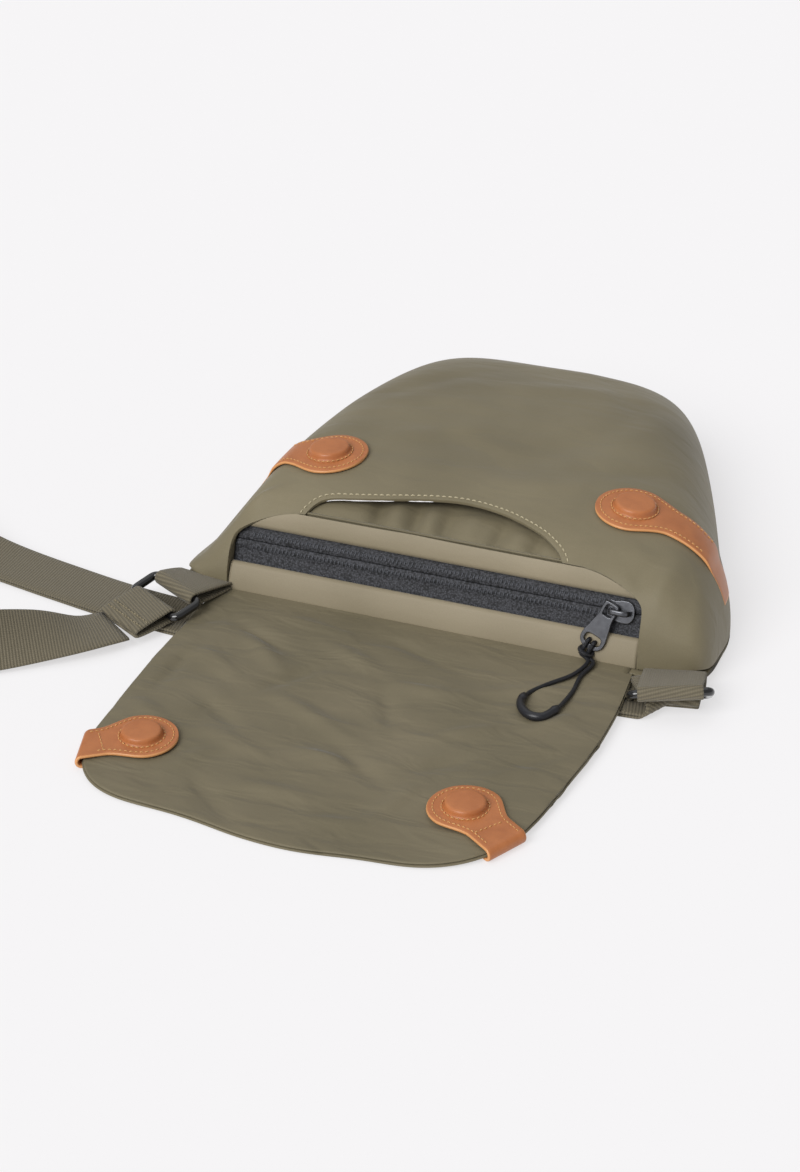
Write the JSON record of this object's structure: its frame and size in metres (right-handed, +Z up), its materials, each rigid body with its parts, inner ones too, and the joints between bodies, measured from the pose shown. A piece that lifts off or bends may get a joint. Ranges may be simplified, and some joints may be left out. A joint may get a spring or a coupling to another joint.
{
  "type": "crossbody purse",
  "caption": "Crossbody purse of coated cloth: rounded pillow body with a crescent pocket, zipped gusset, folding flap with magnet tabs, and a webbing strap on rings.",
  "frame": {"origin": "on the flat underside of the back panel, under the middle of the body", "axes": "+Z up through the bag as it lies on its back, +Y from the zipped top to the rounded bottom, +X towards the end where the closed zip's slider sits"},
  "size_m": [0.5042, 0.4395, 0.0632],
  "materials": {
    "olive_coated_cloth": "matte polyurethane-coated cloth",
    "olive_welt_cloth": "matte polyurethane-coated cloth, paler where it catches light",
    "grey_lining": "plain woven lining",
    "tan_leather": "smooth vegetable-tan look, satin",
    "charcoal_zip_tape": "woven zip tape, matte",
    "black_nylon": "nylon coil",
    "dark_nickel": "satin dark nickel",
    "magnet_steel": "plated magnet",
    "gloss_black_metal": "gloss black",
    "olive_webbing": "woven webbing, matte",
    "black_cord": "braided cord",
    "black_rubber": "moulded, matte"
  },
  "bodies": {
    "bag": {"back_panel": "olive_coated_cloth", "front_panel": "olive_coated_cloth", "main_lining": "grey_lining", "pocket_facing": "olive_welt_cloth", "zip_welt_lower": "olive_welt_cloth", "zip_welt_upper": "olive_welt_cloth", "zip_tape_lower": "charcoal_zip_tape", "zip_tape_upper": "charcoal_zip_tape", "zip_coil_lower": "black_nylon", "zip_coil_upper": "black_nylon", "zip_stop_bottom": "dark_nickel", "zip_stop_top_lower": "dark_nickel", "zip_stop_top_upper": "dark_nickel", "body_left_tab": "tan_leather", "body_left_pod": "tan_leather", "body_left_magnet": "magnet_steel", "body_right_tab": "tan_leather", "body_right_pod": "tan_leather", "body_right_magnet": "magnet_steel", "strap_loop_left": "olive_webbing", "strap_loop_right": "olive_webbing", "strap_single_run": "olive_webbing", "strap_upper_run": "olive_webbing", "strap_return_run": "olive_webbing", "strap_fold": "olive_webbing", "strap_adjuster": "gloss_black_metal"},
    "flap_spine": {"flap_spine_lining": "olive_coated_cloth", "flap_spine_outer": "olive_coated_cloth"},
    "flap_panel": {"flap_lining": "olive_coated_cloth", "flap_outer": "olive_coated_cloth", "flap_left_tab": "tan_leather", "flap_left_pod": "tan_leather", "flap_left_magnet": "magnet_steel", "flap_right_tab": "tan_leather", "flap_right_pod": "tan_leather", "flap_right_magnet": "magnet_steel"},
    "zip_slider": {"zip_slider": "dark_nickel"},
    "zip_puller": {"zip_puller": "dark_nickel", "pull_cord_bight": "black_cord"},
    "pull_loop": {"pull_cord_left": "black_cord", "pull_cord_right": "black_cord", "pull_cord_grip": "black_rubber"},
    "ring_left": {"ring_left": "gloss_black_metal", "strap_end_left": "olive_webbing"},
    "ring_right": {"ring_right": "gloss_black_metal", "strap_end_right": "olive_webbing"}
  },
  "joints": [
    {"name": "flap_lift", "type": "hinge", "parent": "bag", "child": "flap_spine", "pos_m": [0, -0.1295, 0.0065], "axis": [-1, 0, 0], "range_deg": [0, 85]},
    {"name": "flap_fold", "type": "hinge", "parent": "flap_spine", "child": "flap_panel", "pos_m": [0, -0.19226, 0.0065], "axis": [-1, 0, 0], "range_deg": [0, 96]},
    {"name": "zip_slide", "type": "slide", "parent": "bag", "child": "zip_slider", "axis": [1, 0, 0], "range_m": [-0.172, 0], "deforming": ["zip_coil_lower", "zip_coil_upper"]},
    {"name": "puller_swing", "type": "hinge", "parent": "zip_slider", "child": "zip_puller", "pos_m": [0.08775, -0.11901, 0.03097], "axis": [0.9272, -0.122, -0.3542], "range_deg": [-40, 0]},
    {"name": "cord_swing", "type": "hinge", "parent": "zip_puller", "child": "pull_loop", "pos_m": [0, -0.1295, 0.0065], "axis": [-1, 0, 0], "range_deg": [0, 85], "deforming": ["pull_cord_bight"]},
    {"name": "ring_left_swing", "type": "hinge", "parent": "bag", "child": "ring_left", "pos_m": [-0.1215, -0.1435, 0.0125], "axis": [-0.866, 0.5, 0], "range_deg": [0, 45], "deforming": ["strap_single_run"]},
    {"name": "ring_right_swing", "type": "hinge", "parent": "bag", "child": "ring_right", "pos_m": [0.1285, -0.1525, 0.0124], "axis": [-0.9703, -0.2419, 0], "range_deg": [0, 30], "deforming": ["strap_fold", "strap_upper_run", "strap_return_run"]}
  ],
  "couplings": [
    {"joint": "cord_swing", "follows": "flap_lift", "ratio": 1}
  ]
}
